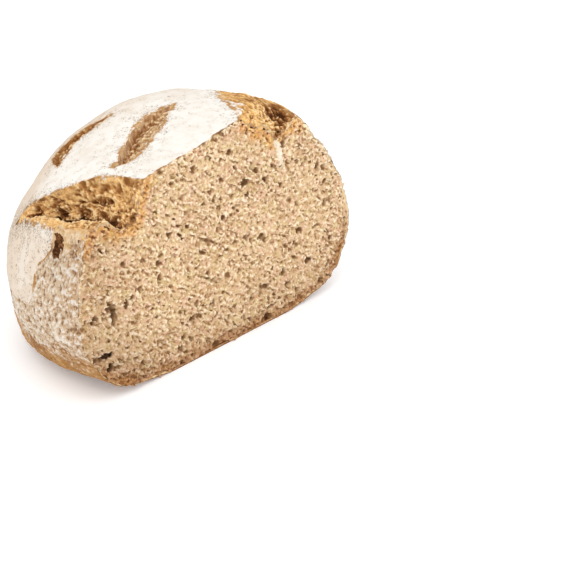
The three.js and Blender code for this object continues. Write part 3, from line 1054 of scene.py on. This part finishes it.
    def hole_distance(self, bench: Bench, chains: Wire, place: Wire) -> Wire:
        """Distance from a place to the wall of the nearest larger hole, below 0 inside it."""
        info = {"Object": chains}
        points = bench.wire("GeometryNodeObjectInfo", info, "Geometry", transform_space="ORIGINAL")
        query = {0: points, "Sample Position": place}
        nearest = bench.wire("GeometryNodeSampleNearest", query, domain="POINT")
        reach = bench.wire("GeometryNodeInputNamedAttribute", {"Name": "reach"}, data_type="FLOAT")
        sample = {0: points, "Value": reach, "Index": nearest}
        size = bench.wire("GeometryNodeSampleIndex", sample, data_type="FLOAT", domain="POINT")
        return self.near(bench, points, place, "POINTS") - size

    def build(self, finish: Material) -> Object:
        """Shapes the crumb.

        Args:
            finish: the crumb's material.

        Returns:
            The crumb as a plain mesh.
        """
        face = list(range(len(self.outline)))
        crumb = link("crumb", new_mesh("outline", [(x, 0.0, z) for x, z in self.outline], [face]))
        chains = self.hole_chains()
        tree = self.sponge_tree()
        change = crumb.modifiers.new("sponge", "NODES")
        change.node_group = tree
        values = {
            "Hole Chains": chains, "Voxel": self.voxel, "Inset": self.inset,
            "Front": self.front, "Back": self.back, "Crumb Finish": finish,
        }
        for item in tree.interface.items_tree:
            if item.in_out == "INPUT" and item.name in values:
                change[item.identifier] = values[item.name]
        plain_mesh(crumb)
        drop(chains)
        mesh = crumb.data
        keep_largest(mesh)
        points = column(mesh.vertices, "co", 3)
        mesh.vertices.foreach_set("co", ((points - MIDDLE) * MM).ravel())
        mesh.update()
        face_outwards(crumb)
        x, _, z = points.T
        edge = self.rim_distance(points)
        right = ease(x, 50, 90)
        low = clamp01((z - 36 - 18 * right) / (-24 - 8 * right))
        stored = {
            "edge": edge,
            "brown": low * (0.8 + 0.3 * noise(points / 9)),
            "shade": 0.5 * ease(x, 70, 5) + 0.45 * ease(z, 60, 8),
            "streak": self.streak(points),
            "gilt": self.gilt(points, edge),
            # Hollowness, from which the finish paints shade into hollows and highlight onto crests.
            "hollow": hollowness(mesh),
        }
        for name, value in stored.items():
            put_attribute(mesh, name, value)
        return crumb

    def rim_distance(self, points: Array) -> Array:
        """Distance of each point from the edge of the cut face, in millimetres."""
        flat = points[:, [0, 2]]
        best = np.full(len(points), FAR_AWAY)
        for start, end in zip(self.outline, np.roll(self.outline, -1, axis=0)):
            run = end - start
            t = clamp01((flat - start) @ run / max(run @ run, 1e-9))
            gap = flat - start - t[:, None] * run
            best = np.minimum(best, dot(gap, gap))
        return np.sqrt(best)

    def streak(self, points: Array) -> Array:
        """Share of flour that the knife dragged down the face from the right burst."""
        heights = [66, 80, 91, 99, 108]
        x = np.interp(points[:, 2], heights, [153.5, 152.4, 150.6, 147.5, 144.8])
        width = np.interp(points[:, 2], heights, [3.0, 3.6, 3.8, 3.0, 2.2])
        width = width * (1.0 + 0.5 * noise(points / 4.0))
        strength = np.interp(points[:, 2], [76, 86, 95, 104, 109], [0, 0.4, 0.9, 0.95, 0])
        return strength * np.exp(-(((points[:, 0] - x) / width) ** 2))

    def gilt(self, points: Array, edge: Array) -> Array:
        """Share of golden baked crumb on the face along the bursts, from its distance to the edge."""
        x, _, z = points.T
        wander = edge + 3 * noise(points / 4)
        right = ease(wander, 9, 3.5) * ease(x, 112, 120) * ease(x, 170, 162) * ease(z, 98, 103)
        left = ease(wander, 9, 3) * ease(x, 60, 50) * ease(z, 82, 88)
        return np.maximum(right, left)


@dataclass(frozen=True)
class CrustFinish(Finish):
    """Floured skin over tan crust, and golden torn crumb where it has burst, with painted shade in hollows
    and painted highlight on crests.
    """

    flour: Colour = tone(240, 236, 229)
    flour_far: Colour = tone(222, 205, 186)
    tan: Colour = tone(150, 101, 50)
    tan_pale: Colour = tone(186, 138, 78)
    # Lighter mottle, also laid as painted highlight on the crests of the skin.
    tan_light: Colour = tone(208, 160, 100)
    # Browner crust near the bottom, and painted shade in the low places of the skin.
    base_brown: Colour = tone(128, 80, 38)
    grey: Colour = tone(204, 178, 148)
    # Dark mottle of the dusted band, also laid as painted shade in its low places.
    grey_deep: Colour = tone(122, 86, 56)
    speck: Colour = tone(118, 92, 68)
    gold: Colour = tone(243, 199, 131)
    amber: Colour = tone(219, 165, 99)
    beige: Colour = tone(220, 188, 150)
    beige_deep: Colour = tone(184, 146, 106)
    brown: Colour = tone(142, 92, 48)
    # Dark brown laid where the torn crumb is most toasted, and as painted shade in its hollows and cavities.
    hollow: Colour = tone(76, 42, 18)
    # Pale shreds: real pale flecks, and painted highlight on the crests.
    shred: Colour = tone(250, 222, 172)
    grains: tuple[Row, ...] = ((22.0, 2.0), (5.0, 3.0, 0.6), (1.7, 3.0, 0.65), (0.8, 2.0, 0.6))
    bump: tuple[float, float] = (0.7, 0.0009)
    shine: float = 0.12

    def material(self) -> Material:
        """Builds the node material of the crust."""
        made, bench, at = self.start("floured crust")
        names = ("deep", "flour", "rough", "height", "warmth", "toast", "lip", "hollow")
        deep, flour, rough, height, warmth, toast, lip, hollow = self.stored(bench, *names)
        broad, middle, fine, dust = (bench.grain(at, *kind) for kind in self.grains)
        sway, bend, grit, motes = (grain - 0.5 for grain in (broad, middle, fine, dust))
        _, y, z = bench.split(at)
        behind = y + float(MIDDLE[1])
        # Mottle noise together with painted shading: low relief and hollows darker, crests lighter.
        mottle_and_shading = height * 0.35 - hollow * 3.0 + grit * 3.4 + motes * 3.6 + bend * 1.6
        bare = bench.layers(
            bench.mix((broad * 0.6 + middle * 0.4).step(0.38, 0.62), self.tan, self.tan_pale),
            ((z + bend * 30.0 + grit * 12.0).step(13.0, 2.0) * 0.7, self.base_brown),
            (mottle_and_shading.step(0.0, -1.1) * 0.7, self.base_brown),
            (mottle_and_shading.step(0.2, 1.2) * 0.4, self.tan_light),
        )
        dusted = bench.layers(
            self.grey,
            ((behind + bend * 16.0).step(16.0, 2.0) * 0.6, self.beige_deep),
            (mottle_and_shading.step(-0.1, -1.3) * 0.85, self.grey_deep),
            (mottle_and_shading.step(0.1, 1.1) * 0.65, self.flour),
            ((lip + bend * 0.8).step(0.45, 0.8) * z.step(82.0, 90.0) * 0.38, self.gold),
        )
        bare = bench.mix((rough + bend * 1.8 + grit * 2.0).step(0.15, 0.8), bare, dusted)
        nibbled = lip.step(0.72, 1.0) * (bend * 3.6 + grit * 3.0 + 0.4)
        cover = (flour + grit * 0.55 + motes * 0.4 - lip * 0.25 - nibbled).step(0.3, 0.6)
        lowered = z + sway * 36.0 + bend * 12.0
        wall = lowered.step(102.0, 80.0)
        far = (y + sway * 30.0).step(-12.0, 34.0) * 1.1 + lowered.step(102.0, 84.0) * 0.7
        thin = (middle * 0.6 + broad * 0.4).step(0.42, 0.62) * 0.34 + far
        speckle = (dust * 0.7 + fine * 0.3 + lip * 0.09 + wall * 0.04).step(0.59, 0.66)
        speckle = speckle * (middle + lip * 0.16 + wall * 0.09).step(0.54, 0.64)
        skin = bench.layers(
            bare,
            (cover, bench.mix(thin.least(1.0), self.flour, self.flour_far)),
            (speckle * (0.7 - rough * 0.5), self.speck),
            ((lip + grit * 0.35).step(0.84, 0.95) * (1.0 - wall) * 0.35, self.amber),
        )
        patches = (middle * 0.6 + fine * 0.4).step(0.42, 0.58)
        warm = bench.mix(patches, self.amber, self.gold)
        cool = bench.mix(patches, self.beige_deep, self.beige)
        # Real toasting together with painted shade: deeper relief, the cavity band and hollows come out
        # darker.
        lie = height * 0.5 - toast * 2.0 - hollow * 3.0
        flecks = fine * 0.5 + dust * 0.5
        open_crumb = bench.layers(
            bench.mix(warmth, cool, warm),
            # Painted highlight: pale shreds on the crests.
            ((hollow * -4.0 + grit * 2.0).step(0.2, 1.3) * 0.85, self.shred),
            ((lie + bend * 2.0).step(0.2, -1.8), self.brown),
            ((lie + grit * 2.0).step(-1.5, -3.2), self.hollow),
            ((flecks + lie * 0.02).step(0.56, 0.66) * 0.55, self.shred),
            (flecks.step(0.45, 0.35) * 0.6, self.brown),
        )
        torn = (deep + grit * 0.4).step(0.15, 0.5)
        lumps = grit * 0.6 + motes * 0.4 + torn * bend * 0.8 - speckle * 0.2
        look = {
            "Base Color": bench.mix(torn, skin, open_crumb),
            "Roughness": cover.step(0.0, 1.0, 0.62, 0.95),
            "Specular IOR Level": self.shine,
        }
        self.end(bench, lumps, self.bump, look)
        return made


@dataclass(frozen=True)
class CrumbFinish(Finish):
    """Beige sponge with bran flecks and golden brown at the rim, with painted shade in its hollows, pores
    and holes and towards the left and bottom, and painted highlight on its crests.
    """

    beige: Colour = tone(226, 193, 152)
    beige_deep: Colour = tone(206, 168, 126)
    rosy: Colour = tone(226, 184, 154)
    straw: Colour = tone(216, 192, 136)
    # Pale strands, also laid as painted highlight on the crests.
    pale: Colour = tone(254, 236, 206)
    # Painted shade in the pores behind the cut.
    pore: Colour = tone(118, 82, 48)
    # Painted shade in the deepest holes.
    cave_shade: Colour = tone(62, 40, 20)
    # Bran flecks, also laid as painted shade in hollows and towards the left and bottom.
    bran: Colour = tone(140, 98, 60)
    rust: Colour = tone(206, 134, 76)
    rim_brown: Colour = tone(172, 114, 58)
    rim_dark: Colour = tone(108, 64, 28)
    gilding: Colour = tone(250, 222, 178)
    flour: Colour = tone(250, 240, 220)
    grains: tuple[Row, ...] = ((26.0, 2.0), (3.6, 3.0, 0.6), (1.6, 3.0, 0.6), (0.7, 2.0, 0.6))
    bump: tuple[float, float] = (0.9, 0.001)
    shine: float = 0.2

    def material(self) -> Material:
        """Builds the node material of the crumb."""
        made, bench, at = self.start("open crumb")
        names = ("edge", "brown", "streak", "gilt", "hollow", "shade")
        edge, brown, streak, gilt, hollow, shade = self.stored(bench, *names)
        broad, middle, fine, dust = (bench.grain(at, *kind) for kind in self.grains)
        bend, grit, motes = (grain - 0.5 for grain in (middle, fine, dust))
        x, y, z = bench.split(at)
        depth = y + float(MIDDLE[1])
        run, cross = bench.tilted(x, z)
        bent = bench.join(run * 0.32 + middle * 2.0, y * 0.6, cross + middle * 2.4)
        strand = bench.grain(bent, 1.15, 3.0, 0.6) - 0.5
        # Mottle and strands together with painted shading from hollowness: hollows darker, crests lighter.
        relief = hollow * -4.5 + grit * 2.2 + motes * 2.6 + strand * 2.4
        distance, chance = bench.cells(at, 2.6)
        spot = distance.step(0.8, 0.45) * chance.step(0.78, 0.82)
        flake = distance.step(1.0, 0.5) * chance.step(0.09, 0.06) * broad.step(0.47, 0.53)
        # The baked rim is darker in its low places: partly real dark spots, partly painted shade.
        baked = bench.mix(relief.step(-0.7, 0.7), self.rim_dark, self.rim_brown)
        crusted = (edge + grit * 9.0 + bend * 6.0).step(10.0, 2.5) * brown
        rimmed = (edge + grit * 1.6).step(1.2, 0.3) * x.step(10.0, 60.0)
        within = edge.step(0.6, 1.6)
        colour = bench.layers(
            self.beige_deep,
            ((broad * 0.4 + middle * 0.6).step(0.42, 0.58), self.beige),
            (bench.grain(at, 5.6, 2.0).step(0.52, 0.62) * 0.6, self.rosy),
            (bench.grain(at, 4.4, 2.0).step(0.47, 0.38) * 0.6, self.straw),
            (relief.step(0.15, 1.2) * 0.9, self.pale),
            (relief.step(-0.15, -1.2) * 0.85, self.bran),
            (spot * 0.6, self.bran),
            (flake * 0.55, self.rust),
            ((shade + bend * 0.5).step(0.1, 0.9) * 0.43, self.bran),
            (crusted * 0.9, baked),
            (rimmed * 0.45, self.rim_brown),
            # Painted shade: pores darker the deeper they go behind the cut, and the deepest holes near
            # black.
            ((depth + grit).step(0.5, 2.2) * within * 0.85, self.pore),
            ((depth + grit * 0.8).step(1.6, 3.0) * within * (shade * 0.8 + 0.3), self.cave_shade),
        )
        gilded = gilt * (middle * 0.5 + fine * 0.5).step(0.36, 0.5)
        colour = bench.mix(gilded, colour, self.gilding, "MULTIPLY")
        colour = bench.mix((streak + grit * 0.8).step(0.35, 0.7) * 0.75, colour, self.flour)
        look = {"Base Color": colour, "Roughness": 0.9, "Specular IOR Level": self.shine}
        self.end(bench, grit * 0.7 + motes * 0.5, self.bump, look)
        return made


GASHES = [
    Gash(
        Torn.LEFT_BURST,
        [(10, -14, 101), (9.4, 0, 100.1), (8.7, 12, 97.7), (10.2, 27, 93.5), (13.6, 40, 89.5),
         (21, 60, 83), (27, 74, 74)],
        [(48, -14, 115), (46.8, 0, 114.6), (44, 14, 113.6), (37, 30, 109.7), (29, 42, 103.5),
         (26.6, 54, 96), (28, 67, 86)],
        [(0, 0), (0.09, 1.2), (0.19, 2.4), (0.29, 8.8), (0.4, 13.6), (0.56, 14.6), (0.74, 12.0),
         (0.9, 6.0), (1, 0)],
        ((-0.36, 0, 0.93), (-0.72, 0.3, 0.62)),
        crag=3.2, crag_size=7.5, fade=0.62, rows=170, columns=120, shred=1.25, warmth=0.85,
        toast=0.0, depth_shade=0.03, cavity_shade=(0.41, 0.13, 9.5), singe=0.6, ragged=0.06,
        pits=[(32, 43.8, 89.7, 3.2, 3.8), (33.7, 29.8, 91.6, 3.2, 3.8), (28.8, 58.1, 88.5, 2.3, 3),
              (32.1, 10, 95, 2.6, 2.6), (16.1, 38.8, 90.5, 2.2, 2), (38.4, 25.6, 100.1, 1.7, 1.7),
              (39.7, 21.8, 101.3, 1.7, 1.7), (40.7, 18.6, 101.4, 1.7, 1.7), (42, 14.9, 101, 1.6, 1.4),
              (39.8, 0, 98.6, 2.2, 2)],
    ),
    Gash(
        Torn.RIGHT_BURST,
        [(159, -14), (162, 0), (171, 14), (178, 28), (182, 43), (176, 60)],
        [(110, -14), (118.6, 0), (124.3, 8.1), (129.1, 19), (133.7, 30.5), (143.8, 40.9), (156, 56)],
        [(0, 0), (0.14, 4.5), (0.32, 11.5), (0.46, 8.2), (0.6, 4.8), (0.85, 2.2), (1, 0)],
        ((0.24, 0, 0.97), (0.4, 0.4, 0.82)),
        crag=2.6, crag_size=8, fade=0.16, rows=150, columns=100, shred=1.2, fall=5, warmth=1.0,
        toast=0.0, hug=(0.18, 0.36), least=0.8, scorch=(157, 8, 8.5, 0.85),
        pits=[(165.5, 4.5, 111.5, 2.0, 2.4), (158.5, 9, 114, 2.4, 2.4), (151, 12, 116, 2.0, 2.2),
              (163.5, 14, 115, 1.8, 1.6), (146, 20, 120, 2.6, 1.4), (157, 24, 119, 2.4, 1.2)],
    ),
    Gash(
        Torn.FRONT_SLASH,
        [(48.1, 22.6), (56, 18.7), (68.7, 21.9), (80, 25.4), (98.5, 35), (113, 42.4)],
        [(48.1, 22.6), (55.6, 26), (64.1, 31.7), (80.4, 41.8), (92, 46), (105, 45.6), (113, 42.4)],
        [(0, 0), (0.25, 1.6), (0.55, 2.9), (0.85, 4.2), (1, 0)],
        ((-0.2, 0.1, 0.97), (0, 0.15, 0.99)),
        crag=1.2, crag_size=5, fade=0.75, rows=100, columns=38, shred=0.75, warmth=0.05,
        toast=0.1, cavity_shade=(0.64, 0.22, 1.7), singe=0.1,
    ),
    Gash(
        Torn.REAR_SLASH,
        [(46.5, 61.5), (60.9, 66.5), (69.3, 68.2), (79, 67.2), (91, 66.8)],
        [(46.5, 61.5), (56, 76), (66, 82), (78, 80.5), (91, 66.8)],
        [(0, 0), (0.25, 1.3), (0.55, 2.2), (0.85, 2.6), (1, 0)],
        ((-0.35, 0.45, 0.82), (-0.15, 0.45, 0.88)),
        crag=1.1, crag_size=5, fade=0.75, rows=70, columns=26, shred=0.7, warmth=0.85, toast=0.7,
    ),
    Gash(
        Torn.SKIN_TEAR,
        [(4.4, 18, 80), (5.2, 15.5, 85), (6.5, 14.5, 90), (7.8, 16, 95.5)],
        [(4.6, 20.5, 80), (6.2, 23.5, 85), (7.9, 24, 90), (9.2, 25, 95)],
        [(0, 0), (0.5, 1.8), (0.9, 1.9), (1, 0)],
        ((-0.97, 0.05, 0.2), (-0.93, 0.05, 0.35)),
        crag=0.9, crag_size=3, fade=0.7, rows=30, columns=24, shred=0.9, warmth=0.3, toast=1.1,
        depth_shade=0.2, cavity_shade=(0.5, 0.3, 2.6), ragged=0.16,
    ),
]


@dataclass
class Studio:
    """Pale floor, soft light and the camera."""

    eye: Place = (-606.7572, -679.6021, 531.6706)
    right: Place = (0.66386529, -0.74785217, 0.0)
    up: Place = (0.33951778, 0.30138854, 0.89100652)
    ahead: Place = (0.66634117, 0.59150831, -0.4539905)
    focal_pixels: float = 2084.80
    frame_pixels: float = 586.0
    sensor: float = 36.0
    floor_span: float = 6.0
    floor_tint: Colour = (0.95, 0.97, 0.99, 1.0)
    floor_glow: Colour = (0.9, 0.95, 1.0, 1.0)
    floor_glow_strength: float = 0.19
    floor_roughness: float = 0.8
    sky: float = 0.935

    def camera(self) -> None:
        """Places the camera and makes it the scene's."""
        lens = bpy.data.cameras.new("camera")
        lens.sensor_width = self.sensor
        lens.lens = self.sensor * self.focal_pixels / self.frame_pixels
        lens.clip_end = 50.0
        thing = link("camera", lens)
        turn = Matrix((self.right, self.up, tuple(-k for k in self.ahead))).transposed().to_4x4()
        turn.translation = Vector((np.array(self.eye) - MIDDLE) * MM)
        thing.matrix_world = turn
        bpy.context.scene.camera = thing

    def lamp(self, name: str, place: Place, power: float, size: float, colour: Place) -> None:
        """One large soft lamp that looks at the loaf."""
        light = bpy.data.lights.new(name, "AREA")
        light.shape = "DISK"
        light.size = size
        light.energy = power
        light.color = colour
        thing = link(name, light)
        thing.location = place
        ahead = Vector((0, 0, 0.05)) - Vector(place)
        thing.rotation_euler = ahead.to_track_quat("-Z", "Y").to_euler()

    def floor(self) -> None:
        """Lays the pale floor."""
        span = self.floor_span
        corners = [(-span, -span, 0), (span, -span, 0), (span, span, 0), (-span, span, 0)]
        sheet = new_mesh("floor", corners, [(0, 1, 2, 3)])
        floor = link("floor", sheet)
        paint = bpy.data.materials.new("pale floor")
        paint.use_nodes = True
        shader = paint.node_tree.nodes["Principled BSDF"]
        shader.inputs["Base Color"].default_value = self.floor_tint
        shader.inputs["Emission Color"].default_value = self.floor_glow
        shader.inputs["Emission Strength"].default_value = self.floor_glow_strength
        shader.inputs["Roughness"].default_value = self.floor_roughness
        sheet.materials.append(paint)

    def build(self) -> None:
        """Sets the camera, the floor, the pale surroundings and the lamps."""
        self.camera()
        self.floor()
        world = bpy.data.worlds.new("soft white")
        world.use_nodes = True
        sky = world.node_tree.nodes["Background"]
        sky.inputs["Color"].default_value = (1.0, 1.0, 1.0, 1.0)
        sky.inputs["Strength"].default_value = self.sky
        bpy.context.scene.world = world
        self.lamp("key", (-0.9, -0.5, 1.5), 9.0, 1.2, (1.0, 0.98, 0.95))
        self.lamp("fill", (0.6, -1.4, 0.7), 3.7, 1.4, (1.0, 0.99, 0.97))
        bpy.context.scene.view_settings.view_transform = "Standard"
        bpy.context.scene.view_settings.look = "None"


def register(piece: Object) -> None:
    """Tells the frame that this piece rides on the loaf's body and stands for its solid."""
    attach(piece, "root")
    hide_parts("boule")
    triangles = sum(len(face.vertices) - 2 for face in piece.data.polygons)
    LOG.info("%s: %d vertices, %d triangles", piece.name, len(piece.data.vertices), triangles)


def main() -> None:
    """Builds the crust, the crumb and the studio."""
    Studio().build()
    crust, outline = Crust(LoafForm(), GASHES).build()
    crust.data.materials.clear()
    crust.data.materials.append(CrustFinish().material())
    register(crust)
    crumb = Crumb(outline).build(CrumbFinish().material())
    register(crumb)


if __name__ == "__main__":
    main()
